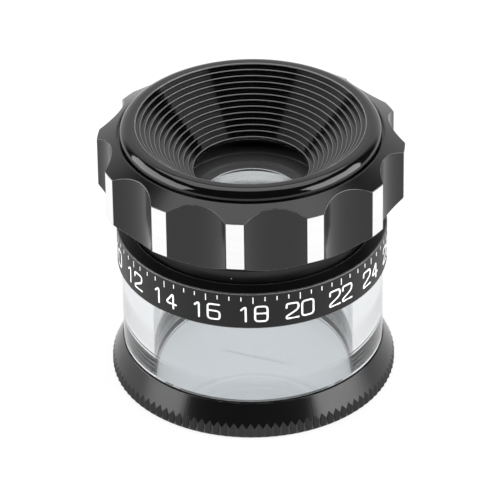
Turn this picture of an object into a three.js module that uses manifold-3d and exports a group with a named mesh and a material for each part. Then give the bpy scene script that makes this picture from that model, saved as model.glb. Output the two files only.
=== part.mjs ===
// Measuring magnifier: a scale loupe that stands on the thing being measured. A clear skirt carries
// the body, a scale glass lies in the base, and the eyepiece focuses on a helicoid in the body.
// Millimetres, +Z up, origin at the middle of the base's underside, front towards -Y.
import * as THREE from 'three';
import { mergeVertices } from 'three/addons/utils/BufferGeometryUtils.js';
import Module from 'manifold-3d';

const wasm = await Module();
wasm.setup();

// Faces round each turned piece, and steps along each curve of a profile
const LARGE_FACES = 60;
const SMALL_FACES = 36;
const MEDIUM_FACES = 48;
const LENS_FACES = 24;
const SCALLOP_FACES = 48;
const DOME_STEPS = 3;
const LIP_STEPS = 6;

// How far a cutting shape runs past what it cuts
const OVERRUN = 0.5;

// Clearances between pieces, on the radius and along the axis
const LENS_CLEARANCE = 0.1;
const GLASS_CLEARANCE = 0.3;
const THREAD_CLEARANCE = 0.12;
const PRESS_CLEARANCE = 0.08;
const SKIRT_CLEARANCE = 0.15;
const SLEEVE_CLEARANCE = 0.2;
const AXIAL_CLEARANCE = 0.05;
const STOP_CLEARANCE = 0.1;
const CEMENT_GAP = 0.06;

// Travel of the eyepiece, up and down from its place at rest
const TRAVEL_UP = 1.5;
const TRAVEL_DOWN = 3.0;

// Lenses: two cemented pairs with their strong lenses facing each other
const LENS_R = 8.5;
const LENS_RIM_WIDTH = 1.6;
const WEAK_LENS_RIM = 2.8;
const STRONG_LENS_RIM = 0.64;
const OUTER_DOME = 0.45;
const STRONG_DOME = 1.3;
const SPACER_WALL = 0.6;

// Lens barrel, with a flange at its top and the neck for the stop ring at its bottom
const LENS_BARREL_WALL = 2.85;
const LENS_LIP_HEIGHT = 0.8;
const LENS_LIP_WIDTH = 0.7;
const LENS_BARREL_TAIL = 0.5;
const BARREL_FLANGE_HEIGHT = 0.6;
const BARREL_FLANGE_GAP = 0.2;
const STOP_NECK_DEPTH = 0.55;
const STOP_RING_WIDTH = 1.3;
const STOP_RING_HEIGHT = 0.9;

// Retainer that screws down onto the top lens
const RETAINER_OVERLAP = 1.55;
const RETAINER_WIDTH = 3.35;
const RETAINER_HEIGHT = 0.75;
const RETAINER_TOP_WIDTH = 2.2;
const RETAINER_STEP_WIDTH = 0.15;
const RETAINER_STEP_DEPTH = 0.3;
const RETAINER_EDGE_HEIGHT = 0.3;
const SPANNER_SLOT_WIDTH = 1.2;
const SPANNER_SLOT_DEPTH = 0.35;

// Hub with the inner thread of the helicoid, seated in the body by its flange
const HUB_WALL = 1.75;
const HUB_DROP = 0.8;
const HUB_TOP_BELOW_MOUTH = 0.4;
const HUB_FLANGE_HEIGHT = 1.1;
const HUB_FLANGE_GAP = 0.7;

// Body barrel: a spigot in the skirt, a floor, and a cup round the sleeve
const SPIGOT_WALL = 0.95;
const SPIGOT_DEPTH = 1.9;
const BODY_FLOOR = 1.1;
const BODY_WALL = 2.05;
const BODY_CHAMFER = 0.12;
const BAND_HEIGHT = 5.85;
const BAND_OVERHANG = 0.6;
const MOUTH_RISE = 0.35;
const MOUTH_CHAMFER = 0.15;

// Clear skirt, threaded at its foot for the base ring
const SKIRT_WALL = 4.3;
const SKIRT_LENGTH = 15.45;
const SKIRT_THREAD_STEP = 1.15;
const SKIRT_CHAMFER = 0.15;
const SHOULDER_GAP = 0.1;

// Scale glass, and the cushion that presses it into the base ring
const GLASS_FLANGE_HEIGHT = 1.2;
const GLASS_LIFT = 0.05;
const CUSHION_HEIGHT = 0.45;
const CUSHION_INSET = 0.2;

// Base ring, with a V-knurled rim that runs out into a cone
const BASE_HEIGHT = 5.1;
const BASE_LIP_HEIGHT = 1.1;
const BASE_LIP_SETBACK = 0.1;
const BASE_TOP_OVERHANG = 0.1;
const BASE_CONE_WIDTH = 1.6;
const KNURL_HEIGHT = 1.9;
const KNURL_DEPTH = 0.45;
const KNURL_TEETH = 108;

// Sleeve that fills the body's mouth and carries the focus ring
const SLEEVE_WALL = 1.1;
const SLEEVE_FLOOR_GAP = 0.3;
const SLEEVE_REACH = 4.7;
const WEB_HEIGHT = 1.2;

// Focus ring: a double cone cut by scallops between narrow lands
const RING_FLOAT = 0.5;
const RING_HEIGHT = 11.1;
const RING_WALL = 2.7;
const SCALLOP_DEPTH = 1.95;
const LAND_WIDTH = 2.75;
const LAND_HEIGHT = 7.5;
const LAND_COUNT = 12;
const LAND_TURN = THREE.MathUtils.degToRad(-6.25);
const LOWER_CONE_HEIGHT = 1.8;
const LOWER_CONE_WIDTH = 2.34;

// Eyecup: a rounded lip over a funnel of anti-glare steps
const RIM_INSET = 3.2;
const LIP_WIDTH = 2.42;
const LIP_RISE = 1.35;
const STEP_COUNT = 12;
const STEP_RISE = 0.62;
const EYE_HOLE_MARGIN = 1.32;
const EYE_HOLE_EDGE = 0.6;
const CHAMBER_WIDTH = 4.45;

// Radii, from the lenses outwards
const lensClearR = LENS_R - LENS_RIM_WIDTH;
const lensBoreR = LENS_R + LENS_CLEARANCE;
const helicoidR = lensBoreR + LENS_BARREL_WALL;
const stopNeckR = helicoidR - STOP_NECK_DEPTH;
const hubBoreR = helicoidR + THREAD_CLEARANCE;
const hubR = hubBoreR + HUB_WALL;
const spigotBoreR = hubR + PRESS_CLEARANCE;
const spigotR = spigotBoreR + SPIGOT_WALL;
const skirtBoreR = spigotR + SKIRT_CLEARANCE;
const skirtR = skirtBoreR + SKIRT_WALL;
const skirtThreadR = skirtR - SKIRT_THREAD_STEP;
const bandR = skirtR + BAND_OVERHANG;
const mouthR = bandR - BODY_WALL;
const sleeveR = mouthR - SLEEVE_CLEARANCE;
const sleeveBoreR = sleeveR - SLEEVE_WALL;
const ringBoreR = sleeveR + PRESS_CLEARANCE;
const scallopR = ringBoreR + RING_WALL;
const landR = scallopR + SCALLOP_DEPTH;
const rimR = landR - RIM_INSET;
const retainerBoreR = LENS_R - RETAINER_OVERLAP;
const retainerR = retainerBoreR + RETAINER_WIDTH;
const baseBoreR = skirtThreadR + THREAD_CLEARANCE;
const baseLipR = skirtBoreR + BASE_LIP_SETBACK;
const baseTopR = skirtR + BASE_TOP_OVERHANG;
const knurlR = baseTopR + BASE_CONE_WIDTH;

// Heights, from the base upwards
const glassTopZ = BASE_LIP_HEIGHT + GLASS_FLANGE_HEIGHT;
const skirtBottomZ = glassTopZ + CUSHION_HEIGHT;
const skirtTopZ = skirtBottomZ + SKIRT_LENGTH;
const bodyFloorZ = skirtTopZ + BODY_FLOOR;
const bandTopZ = skirtTopZ + BAND_HEIGHT;
const mouthZ = bandTopZ + MOUTH_RISE;
const hubBottomZ = skirtTopZ - HUB_DROP;
const hubTopZ = mouthZ - HUB_TOP_BELOW_MOUTH;
const stopTopZ = hubBottomZ - TRAVEL_UP - STOP_CLEARANCE;
const stopBottomZ = stopTopZ - STOP_RING_HEIGHT;
const lensBarrelBottomZ = stopBottomZ - LENS_BARREL_TAIL;
const lensSeatZ = lensBarrelBottomZ + LENS_LIP_HEIGHT;
const webBottomZ = hubTopZ + TRAVEL_DOWN + STOP_CLEARANCE;
const webTopZ = webBottomZ + WEB_HEIGHT;
const lensBarrelTopZ = webTopZ + BARREL_FLANGE_HEIGHT;
const retainerTopZ = lensBarrelTopZ - AXIAL_CLEARANCE;
const retainerBottomZ = retainerTopZ - RETAINER_HEIGHT;
const lensTopZ = retainerBottomZ - AXIAL_CLEARANCE;
const sleeveBottomZ = bodyFloorZ + TRAVEL_DOWN + SLEEVE_FLOOR_GAP;
const sleeveTopZ = webTopZ + SLEEVE_REACH;
const ringBottomZ = mouthZ + TRAVEL_DOWN + RING_FLOAT;
const ringTopZ = ringBottomZ + RING_HEIGHT;

// Joints in the lens stack: the spacer fills what the two pairs leave
const fieldJointZ = lensSeatZ + WEAK_LENS_RIM;
const spacerBottomZ = fieldJointZ + CEMENT_GAP + STRONG_LENS_RIM;
const eyeJointZ = lensTopZ - WEAK_LENS_RIM;
const spacerTopZ = eyeJointZ - CEMENT_GAP - STRONG_LENS_RIM;

// A geometry turned about Z. The outline runs up its outside and down its inside as [radius, height]
// pairs, and either closes on itself or starts and ends on the axis.
function turned(outline, faces, turn = 0) {
  const points = outline.map(([radius, height]) => new THREE.Vector2(radius, height));
  if (outline[0][0] > 0) points.push(points[0].clone());
  const geometry = new THREE.LatheGeometry(points, faces, turn);
  geometry.rotateX(Math.PI / 2);
  return geometry;
}

function solidOf(geometry) {
  const plain = geometry.clone();
  plain.deleteAttribute('normal');
  plain.deleteAttribute('uv');
  const merged = mergeVertices(plain);
  return new wasm.Manifold(new wasm.Mesh({
    numProp: 3,
    vertProperties: merged.attributes.position.array,
    triVerts: new Uint32Array(merged.index.array),
  }));
}

function geometryOf(solid) {
  const mesh = solid.getMesh();
  const geometry = new THREE.BufferGeometry();
  geometry.setAttribute('position', new THREE.BufferAttribute(mesh.vertProperties, mesh.numProp));
  geometry.setIndex(new THREE.BufferAttribute(mesh.triVerts, 1));
  return geometry;
}

// Outline points of a spherical dome, from the axis to its edge at edgeZ. It stands rise above the
// edge, or hangs below it where rise is negative.
function dome(edgeR, edgeZ, rise) {
  const sphereR = (edgeR ** 2 + rise ** 2) / (2 * Math.abs(rise));
  const edgeHeight = Math.sqrt(sphereR ** 2 - edgeR ** 2);
  return Array.from({ length: DOME_STEPS + 1 }, (_, step) => {
    const radius = (edgeR * step) / DOME_STEPS;
    const height = Math.sqrt(sphereR ** 2 - radius ** 2) - edgeHeight;
    return [radius, edgeZ + Math.sign(rise) * height];
  });
}

// A lens with a flat rim round two spherical faces
function lens(bottomZ, bottomRise, topZ, topRise) {
  return turned([
    ...dome(lensClearR, bottomZ, bottomRise),
    [LENS_R, bottomZ],
    [LENS_R, topZ],
    ...dome(lensClearR, topZ, topRise).reverse(),
  ], LENS_FACES);
}

function fieldFlint() {
  return lens(lensSeatZ, -OUTER_DOME, fieldJointZ, -STRONG_DOME);
}

function fieldCrown() {
  return lens(fieldJointZ + CEMENT_GAP, -STRONG_DOME, spacerBottomZ, STRONG_DOME);
}

function eyeCrown() {
  return lens(spacerTopZ, -STRONG_DOME, eyeJointZ - CEMENT_GAP, STRONG_DOME);
}

function eyeFlint() {
  return lens(eyeJointZ, STRONG_DOME, lensTopZ, OUTER_DOME);
}

// A plain ring between two radii and two heights
function tube(innerR, outerR, bottomZ, topZ, faces) {
  return turned([
    [innerR, bottomZ],
    [outerR, bottomZ],
    [outerR, topZ],
    [innerR, topZ],
  ], faces);
}

function lensSpacer() {
  return tube(LENS_R - SPACER_WALL, LENS_R, spacerBottomZ, spacerTopZ, LENS_FACES);
}

function lensBarrel() {
  const flangeR = sleeveBoreR - BARREL_FLANGE_GAP;
  const recessR = retainerR + PRESS_CLEARANCE;
  const lipR = LENS_R - LENS_LIP_WIDTH;
  return turned([
    [lipR, lensBarrelBottomZ],
    [stopNeckR, lensBarrelBottomZ],
    [stopNeckR, stopTopZ],
    [helicoidR, stopTopZ],
    [helicoidR, webTopZ],
    [flangeR, webTopZ],
    [flangeR, lensBarrelTopZ],
    [recessR, lensBarrelTopZ],
    [recessR, lensTopZ],
    [lensBoreR, lensTopZ],
    [lensBoreR, lensSeatZ],
    [lipR, lensSeatZ],
  ], SMALL_FACES);
}

function stopRing() {
  const boreR = stopNeckR + PRESS_CLEARANCE;
  return tube(boreR, boreR + STOP_RING_WIDTH, stopBottomZ, stopTopZ, SMALL_FACES);
}

// Stepped ring with one slot sunk right across its top, for a two-pronged spanner
function lensRetainer() {
  const ring = solidOf(turned([
    [retainerBoreR, retainerBottomZ],
    [retainerR, retainerBottomZ],
    [retainerR, retainerTopZ],
    [retainerR - RETAINER_TOP_WIDTH, retainerTopZ],
    [retainerR - RETAINER_TOP_WIDTH - RETAINER_STEP_WIDTH, retainerTopZ - RETAINER_STEP_DEPTH],
    [retainerBoreR, retainerBottomZ + RETAINER_EDGE_HEIGHT],
  ], SMALL_FACES));
  const slotLength = 2 * (retainerR + OVERRUN);
  const slot = new THREE.BoxGeometry(slotLength, SPANNER_SLOT_WIDTH, 2 * SPANNER_SLOT_DEPTH);
  slot.translate(0, 0, retainerTopZ);
  return geometryOf(ring.subtract(solidOf(slot)));
}

function helicoidHub() {
  const flangeR = sleeveBoreR - HUB_FLANGE_GAP;
  return turned([
    [hubBoreR, hubBottomZ],
    [hubR, hubBottomZ],
    [hubR, bodyFloorZ],
    [flangeR, bodyFloorZ],
    [flangeR, bodyFloorZ + HUB_FLANGE_HEIGHT],
    [hubR, bodyFloorZ + HUB_FLANGE_HEIGHT],
    [hubR, hubTopZ],
    [hubBoreR, hubTopZ],
  ], SMALL_FACES);
}

function bodyBarrel() {
  return turned([
    [spigotBoreR, skirtTopZ - SPIGOT_DEPTH],
    [spigotR, skirtTopZ - SPIGOT_DEPTH],
    [spigotR, skirtTopZ],
    [bandR - BODY_CHAMFER, skirtTopZ],
    [bandR, skirtTopZ + BODY_CHAMFER],
    [bandR, bandTopZ - BODY_CHAMFER],
    [bandR - BODY_CHAMFER, bandTopZ],
    [mouthR + MOUTH_CHAMFER, mouthZ],
    [mouthR, mouthZ - MOUTH_CHAMFER],
    [mouthR, bodyFloorZ],
    [spigotBoreR, bodyFloorZ],
  ], LARGE_FACES);
}

function clearSkirt() {
  const shoulderZ = BASE_HEIGHT + SHOULDER_GAP;
  return turned([
    [skirtBoreR, skirtBottomZ],
    [skirtThreadR, skirtBottomZ],
    [skirtThreadR, shoulderZ],
    [skirtR - SKIRT_CHAMFER, shoulderZ],
    [skirtR, shoulderZ + SKIRT_CHAMFER],
    [skirtR, skirtTopZ],
    [skirtBoreR, skirtTopZ],
  ], LARGE_FACES);
}

// Flanged disc whose boss reaches through the base ring, almost onto what is measured
function scaleGlass() {
  const bossR = baseLipR - GLASS_CLEARANCE;
  const flangeR = baseBoreR - GLASS_CLEARANCE;
  return turned([
    [0, GLASS_LIFT],
    [bossR, GLASS_LIFT],
    [bossR, BASE_LIP_HEIGHT],
    [flangeR, BASE_LIP_HEIGHT],
    [flangeR, glassTopZ],
    [0, glassTopZ],
  ], MEDIUM_FACES);
}

function scaleCushion() {
  const innerR = skirtBoreR + CUSHION_INSET;
  return tube(innerR, skirtThreadR - CUSHION_INSET, glassTopZ, skirtBottomZ, MEDIUM_FACES);
}

// The knurled blank is extruded, cut back to a cone above the knurl, and bored for glass and skirt
function baseRing() {
  const pitch = (2 * Math.PI) / KNURL_TEETH;
  const rim = Array.from({ length: 2 * KNURL_TEETH }, (_, corner) => {
    const radius = corner % 2 ? knurlR - KNURL_DEPTH : knurlR;
    const angle = (corner * pitch) / 2;
    return new THREE.Vector2(radius * Math.cos(angle), radius * Math.sin(angle));
  });
  const knurled = new THREE.ExtrudeGeometry(new THREE.Shape(rim), {
    depth: BASE_HEIGHT,
    bevelEnabled: false,
  });
  const coneSlope = (BASE_HEIGHT - KNURL_HEIGHT) / BASE_CONE_WIDTH;
  const cone = turned([
    [0, -OVERRUN],
    [knurlR + OVERRUN, -OVERRUN],
    [knurlR + OVERRUN, KNURL_HEIGHT - OVERRUN * coneSlope],
    [baseTopR - OVERRUN, BASE_HEIGHT + OVERRUN * coneSlope],
    [0, BASE_HEIGHT + OVERRUN * coneSlope],
  ], KNURL_TEETH);
  const bore = turned([
    [0, -OVERRUN],
    [baseLipR, -OVERRUN],
    [baseLipR, BASE_LIP_HEIGHT],
    [baseBoreR, BASE_LIP_HEIGHT],
    [baseBoreR, BASE_HEIGHT + OVERRUN],
    [0, BASE_HEIGHT + OVERRUN],
  ], LARGE_FACES);
  return geometryOf(solidOf(knurled).intersect(solidOf(cone)).subtract(solidOf(bore)));
}

function innerSleeve() {
  const webBoreR = helicoidR + PRESS_CLEARANCE;
  return turned([
    [sleeveBoreR, sleeveBottomZ],
    [sleeveR, sleeveBottomZ],
    [sleeveR, sleeveTopZ],
    [sleeveBoreR, sleeveTopZ],
    [sleeveBoreR, webTopZ],
    [webBoreR, webTopZ],
    [webBoreR, webBottomZ],
    [sleeveBoreR, webBottomZ],
  ], MEDIUM_FACES);
}

// Each scallop is a round flute parallel to the axis. Its radius makes it reach scallopR at its
// middle and leave a land of the set width on each side.
function focusRing() {
  const period = (2 * Math.PI) / LAND_COUNT;
  const halfScallop = period / 2 - Math.asin(LAND_WIDTH / 2 / landR);
  const edgeX = landR * Math.cos(halfScallop);
  const fluteCentreR = (landR ** 2 - scallopR ** 2) / (2 * (edgeX - scallopR));
  const fluteR = fluteCentreR - scallopR;
  const faceTurn = Math.PI / LARGE_FACES;
  let ring = solidOf(turned([
    [ringBoreR, ringBottomZ],
    [landR - LOWER_CONE_WIDTH, ringBottomZ],
    [landR, ringBottomZ + LOWER_CONE_HEIGHT],
    [landR, ringBottomZ + LOWER_CONE_HEIGHT + LAND_HEIGHT],
    [rimR, ringTopZ],
    [ringBoreR, ringTopZ],
  ], LARGE_FACES, LAND_TURN - faceTurn));
  for (let index = 0; index < LAND_COUNT; index += 1) {
    const height = RING_HEIGHT + 2 * OVERRUN;
    const flute = new THREE.CylinderGeometry(fluteR, fluteR, height, SCALLOP_FACES);
    flute.rotateX(Math.PI / 2);
    flute.translate(0, -fluteCentreR, ringBottomZ + RING_HEIGHT / 2);
    flute.rotateZ(LAND_TURN + (index + 1 / 2) * period);
    ring = ring.subtract(solidOf(flute));
  }
  return geometryOf(ring);
}

// The lip rises as a quarter of a sine wave, and the steps drop at an even tread to the eye hole
function eyecup() {
  const footR = sleeveBoreR - LENS_CLEARANCE;
  const stemR = ringBoreR - LENS_CLEARANCE;
  const footZ = lensBarrelTopZ + AXIAL_CLEARANCE;
  const stemZ = sleeveTopZ + AXIAL_CLEARANCE;
  const crestR = rimR - LIP_WIDTH;
  const crestZ = ringTopZ + LIP_RISE;
  const eyeHoleR = lensClearR + EYE_HOLE_MARGIN;
  const chamberR = eyeHoleR + CHAMBER_WIDTH;
  const chamberTopZ = crestZ - STEP_COUNT * STEP_RISE - EYE_HOLE_EDGE;
  const tread = (crestR - eyeHoleR) / STEP_COUNT;
  const lip = Array.from({ length: LIP_STEPS + 1 }, (_, step) => {
    const share = step / LIP_STEPS;
    return [rimR - LIP_WIDTH * share, ringTopZ + LIP_RISE * Math.sin((share * Math.PI) / 2)];
  });
  const steps = Array.from({ length: STEP_COUNT }, (_, step) => {
    const ledgeZ = crestZ - (step + 1) * STEP_RISE;
    return [
      [crestR - step * tread, ledgeZ],
      [crestR - (step + 1) * tread, ledgeZ],
    ];
  }).flat();
  return turned([
    [chamberR, footZ],
    [footR, footZ],
    [footR, stemZ],
    [stemR, stemZ],
    [stemR, ringTopZ],
    ...lip,
    ...steps,
    [eyeHoleR, chamberTopZ],
    [chamberR, chamberTopZ],
  ], MEDIUM_FACES);
}

function finish(color, roughness, metalness) {
  return { color, roughness, metalness };
}

const SATIN_BLACK = finish(0x17181a, 0.45, 0.6);
const MATT_BLACK = finish(0x0e0f10, 0.7, 0.3);
const GLOSS_BLACK = finish(0x08090a, 0.15, 0.0);
const BARE_BRASS = finish(0xb5954a, 0.35, 1.0);
const BARE_METAL = finish(0x8f9295, 0.4, 1.0);
const CUSHION_GREY = finish(0x9aa0a3, 0.8, 0.0);
const CLEAR_PLASTIC = { ...finish(0xe4ebef, 0.08, 0.0), transparent: true, opacity: 0.35 };
const OPTICAL_GLASS = { ...finish(0xdfe9ec, 0.03, 0.0), transparent: true, opacity: 0.35 };

const pieces = [
  ['base_ring', baseRing, SATIN_BLACK],
  ['scale_glass', scaleGlass, OPTICAL_GLASS],
  ['scale_cushion', scaleCushion, CUSHION_GREY],
  ['clear_skirt', clearSkirt, CLEAR_PLASTIC],
  ['body_barrel', bodyBarrel, SATIN_BLACK],
  ['helicoid_hub', helicoidHub, BARE_BRASS],
  ['stop_ring', stopRing, BARE_METAL],
  ['lens_barrel', lensBarrel, MATT_BLACK],
  ['field_flint', fieldFlint, OPTICAL_GLASS],
  ['field_crown', fieldCrown, OPTICAL_GLASS],
  ['lens_spacer', lensSpacer, BARE_METAL],
  ['eye_crown', eyeCrown, OPTICAL_GLASS],
  ['eye_flint', eyeFlint, OPTICAL_GLASS],
  ['lens_retainer', lensRetainer, MATT_BLACK],
  ['inner_sleeve', innerSleeve, SATIN_BLACK],
  ['focus_ring', focusRing, SATIN_BLACK],
  ['eyecup', eyecup, GLOSS_BLACK],
];

const group = new THREE.Group();
for (const [name, shape, look] of pieces) {
  const mesh = new THREE.Mesh(shape(), new THREE.MeshStandardMaterial(look));
  mesh.name = name;
  group.add(mesh);
}

export default group;
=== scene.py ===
"""Surface model of a measuring magnifier: a scale loupe with a clear skirt, a scale glass in a knurled
base ring, and a scalloped focus ring with a stepped eyecup over its lenses.

Metres, +Z up, origin at the middle of the base's underside, front towards -Y. Angles round the object
start at the front and turn towards +X. Every size that another piece depends on is read from the frame.
"""
import math

import bpy
import numpy as np
from bpy.props import BoolProperty, FloatProperty, FloatVectorProperty, IntProperty, PointerProperty
from mathutils import Matrix


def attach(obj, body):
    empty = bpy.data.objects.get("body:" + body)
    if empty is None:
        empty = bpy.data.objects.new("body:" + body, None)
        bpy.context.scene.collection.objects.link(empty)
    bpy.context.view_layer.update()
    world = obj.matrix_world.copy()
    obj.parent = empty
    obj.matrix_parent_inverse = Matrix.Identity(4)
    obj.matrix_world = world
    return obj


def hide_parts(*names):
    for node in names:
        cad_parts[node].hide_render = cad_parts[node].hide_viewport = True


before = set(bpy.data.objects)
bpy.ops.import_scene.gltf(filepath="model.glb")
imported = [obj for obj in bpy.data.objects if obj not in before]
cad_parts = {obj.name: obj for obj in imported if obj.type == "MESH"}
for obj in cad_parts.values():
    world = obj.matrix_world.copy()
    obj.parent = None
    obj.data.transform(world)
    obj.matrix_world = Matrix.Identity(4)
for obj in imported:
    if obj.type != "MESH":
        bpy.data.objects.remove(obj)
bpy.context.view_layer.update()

bl_info = {
    "name": "Measuring Magnifier",
    "version": (1, 0, 0),
    "blender": (4, 5, 0),
    "location": "3D View > Sidebar > Magnifier",
    "description": "Builds a stand loupe with a clear skirt, a scale glass and a scalloped focus ring",
    "category": "Add Mesh",
}

MM = 0.001
FULL_TURN = 2 * math.pi

# Two corners of the frame nearer than this are one
SAME_PLACE = 0.003 * MM

# The rounding of a corner takes at most this share of its shorter side
MOST_CUT = 0.45

# Faces across the rounded edges of most turned pieces, and how many edge breaks wide those of glass
# and of the stop ring are
EDGE_STEPS = 3
WIDE_EDGE = 1.5

# Pitch, starts and depth of the base ring's thread and of the helicoid, and rows of points for a pitch
BASE_THREAD = (0.75 * MM, 1, 0.3 * MM)
HELICOID_THREAD = (0.75 * MM, 6, 0.25 * MM)
THREAD_ROWS = 8

# How far the focus ring's rim lies outside the frame's, and the eyecup's seat below the rim
RIM_SHIFT = 0.42 * MM
RIM_DEPTH = 0.3 * MM

# Points across the domed top of a stroke, and degrees at which the sections of a round end stand
STROKE_POINTS = 5
STROKE_ENDS = (80.0, 52.0, 26.0)

# Edges where the black is rubbed, and specks of dust, which are rougher too
RUBBED = (0.12, 0.12, 0.12)
DUST_COLOUR = (0.35, 0.34, 0.32, 1.0)
DUST_ROUGHNESS = 0.3

# The lighter rings of a turned face are this many times as light, and a little more on black
TONE_FACTOR = 1.35
TONE_LIFT = 0.0003

# Over this range of its noise a patch changes the roughness between these shares
PATCH_RANGE = (0.3, 0.7)
ROUGH_SHARES = (0.92, 1.12)

# Over this range of its noise a patch of clear plastic or glass turns from polished to handled
HANDLED_RANGE = (0.45, 0.8)

# Share of the turning marks in a finish's relief. The grain has the rest
MARKS_SHARE = 0.6


# Reading the frame


def corners(node):
    """Radius and height of every corner of a turned node, in metres."""
    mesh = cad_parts[node].data
    places = np.empty(3 * len(mesh.vertices), np.float32)
    mesh.vertices.foreach_get("co", places)
    x, y, z = places.astype(float).reshape(-1, 3).T
    return np.hypot(x, y), z


def distinct(values, shared):
    """The values in rising order, near ones as one, that at least so many corners share."""
    ordered = np.sort(values)
    first = np.flatnonzero(np.diff(ordered, prepend=-1) > SAME_PLACE)
    count = np.diff(first, append=len(ordered))
    return ordered[first[count >= shared]]


def radii(node, height=None, shared=1):
    """Distinct radii of a turned node's corners, or of those at one height."""
    radius, z = corners(node)
    return distinct(radius if height is None else radius[abs(z - height) < SAME_PLACE], shared)


def heights(node, radius=None, shared=1):
    """Distinct heights of a turned node's corners, or of those at one radius."""
    found, z = corners(node)
    return distinct(z if radius is None else z[abs(found - radius) < SAME_PLACE], shared)


# Outlines


def rounded(outline, cut, steps=4, closed=True):
    """An outline with its corners rounded, as rows of (across, up, wear).

    A corner C between A and B, which lie the cut away from it along its two sides, or less on a side that
    is short, becomes the curve A(1-s)^2 + 2Cs(1-s) + Bs^2 for s from 0 to 1. Wear is the sine of the turn
    to the left times 4s(1-s), so it is 1 on the middle of a square outer corner. The first axis holds the
    corners, the last holds (across, up), and any axis between them holds separate outlines.
    """
    outline = np.asarray(outline, float)
    to_last = np.roll(outline, 1, axis=0) - outline
    to_next = np.roll(outline, -1, axis=0) - outline
    last_length = np.linalg.norm(to_last, axis=-1, keepdims=True)
    next_length = np.linalg.norm(to_next, axis=-1, keepdims=True)
    cut = np.asarray(cut, float).reshape(-1, *[1] * (outline.ndim - 1))
    cut = np.minimum(cut, MOST_CUT * np.minimum(last_length, next_length))
    to_last = to_last / last_length
    to_next = to_next / next_length
    s = np.linspace(0, 1, steps + 1).reshape(-1, *[1] * outline.ndim)
    curve = (outline + to_last * cut) * (1 - s) ** 2
    curve = curve + 2 * outline * s * (1 - s) + (outline + to_next * cut) * s**2
    turn = to_next[..., :1] * to_last[..., 1:] - to_next[..., 1:] * to_last[..., :1]
    wear = np.clip(turn, 0, 1) * 4 * s * (1 - s)
    rows = np.concatenate([curve, np.broadcast_to(wear, (*curve.shape[:-1], 1))], axis=-1)
    rows = np.swapaxes(rows, 0, 1).reshape(-1, *outline.shape[1:-1], 3)
    if closed:
        return rows
    ends = np.concatenate([outline, np.zeros((*outline.shape[:-1], 1))], axis=-1)
    return np.concatenate([ends[:1], rows[steps + 1:-steps - 1], ends[-1:]])


def arc_rows(points):
    """Rows of (radius, height, wear) from pairs that are smooth already, and so have no wear."""
    return np.column_stack([points, np.zeros(len(points))])


def at_angles(outline, count):
    """An outline for each of so many angles, from corners whose numbers are single or one for each."""
    values = [[np.broadcast_to(number, count) for number in corner] for corner in outline]
    return np.moveaxis(np.array(values), 1, 2)


def one_for_each(sections, count):
    """One section for each of so many angles, where a single one serves them all."""
    return np.repeat(sections[:, None, :], count, axis=1) if sections.ndim == 2 else sections


def divided_wall(sections, radius, low, high, count):
    """The sections with count more rows on the upright wall of that radius between two heights."""
    first = sections[:, 0]
    on_wall = abs(first[:, 0] - radius) < SAME_PLACE
    long = abs(np.diff(first[:, 1])) > (high - low) / 2
    start = int(np.flatnonzero(on_wall[:-1] & on_wall[1:] & long)[0])
    share = np.linspace(0, 1, count + 2)[1:-1, None, None]
    between = sections[start] * (1 - share) + sections[start + 1] * share
    return np.concatenate([sections[:start + 1], between, sections[start + 1:]])


def threaded(sections, angles, radius, low, high, thread, side):
    """Sections with a V-thread on the wall of that radius, one section for each angle.

    The wall moves by the depth times a triangle wave of (height - lead x angle / a full turn) / pitch, and
    the wave fades over half a pitch at both ends. The lead is the pitch times the number of starts. Side
    is 1 where the thread is cut outwards and -1 where it is cut inwards.
    """
    pitch, starts, depth = thread
    sections = one_for_each(sections, len(angles))
    sections = divided_wall(sections, radius, low, high, int(THREAD_ROWS * (high - low) / pitch))
    on_wall = abs(sections[..., 0] - radius) < SAME_PLACE
    height = sections[..., 1]
    phase = (height / pitch - starts * angles / FULL_TURN) % 1
    wave = abs(2 * phase - 1)
    room = np.minimum(height - low, high - height) / (pitch / 2)
    sections[..., 0] += side * depth * wave * np.clip(room, 0, 1) * on_wall
    return sections


# Meshes


def even_angles(steps):
    """Angles that divide the turn evenly."""
    return np.arange(steps) * FULL_TURN / steps


def smooth_normals(points, faces):
    """Normals of the points: each face counts by the square of its area, so flat faces stay flat."""
    total = np.zeros_like(points)
    for group in faces:
        across = np.cross(
            points[group[:, -2]] - points[group[:, 0]],
            points[group[:, -1]] - points[group[:, 1]],
        )
        across *= np.linalg.norm(across, axis=1, keepdims=True)
        for column in range(group.shape[1]):
            for axis in range(3):
                total[:, axis] += np.bincount(
                    group[:, column], across[:, axis], minlength=len(points)
                )
    return total / np.maximum(np.linalg.norm(total, axis=1, keepdims=True), 1e-30)


def mesh_of(name, points, faces, wear=None, slots=None):
    """A smooth mesh of points and groups of faces with as many corners each.

    Wear is one number for each point and slots one material number for each face.
    """
    mesh = bpy.data.meshes.new(name)
    mesh.vertices.add(len(points))
    mesh.vertices.foreach_set("co", points.astype(np.float32).ravel())
    loops = np.concatenate([group.ravel() for group in faces])
    sizes = np.concatenate([np.full(len(group), group.shape[1]) for group in faces])
    mesh.loops.add(len(loops))
    mesh.loops.foreach_set("vertex_index", loops.astype(np.int32))
    mesh.polygons.add(len(sizes))
    starts = np.concatenate([[0], np.cumsum(sizes)[:-1]])
    mesh.polygons.foreach_set("loop_start", starts.astype(np.int32))
    if slots is not None:
        mesh.polygons.foreach_set("material_index", slots.astype(np.int32))
    mesh.update(calc_edges=True)
    mesh.shade_smooth()
    mesh.normals_split_custom_set_from_vertices(smooth_normals(points, faces))
    if wear is not None:
        attribute = mesh.attributes.new("wear", "FLOAT", "POINT")
        attribute.data.foreach_set("value", wear.astype(np.float32).ravel())
    return mesh


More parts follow.
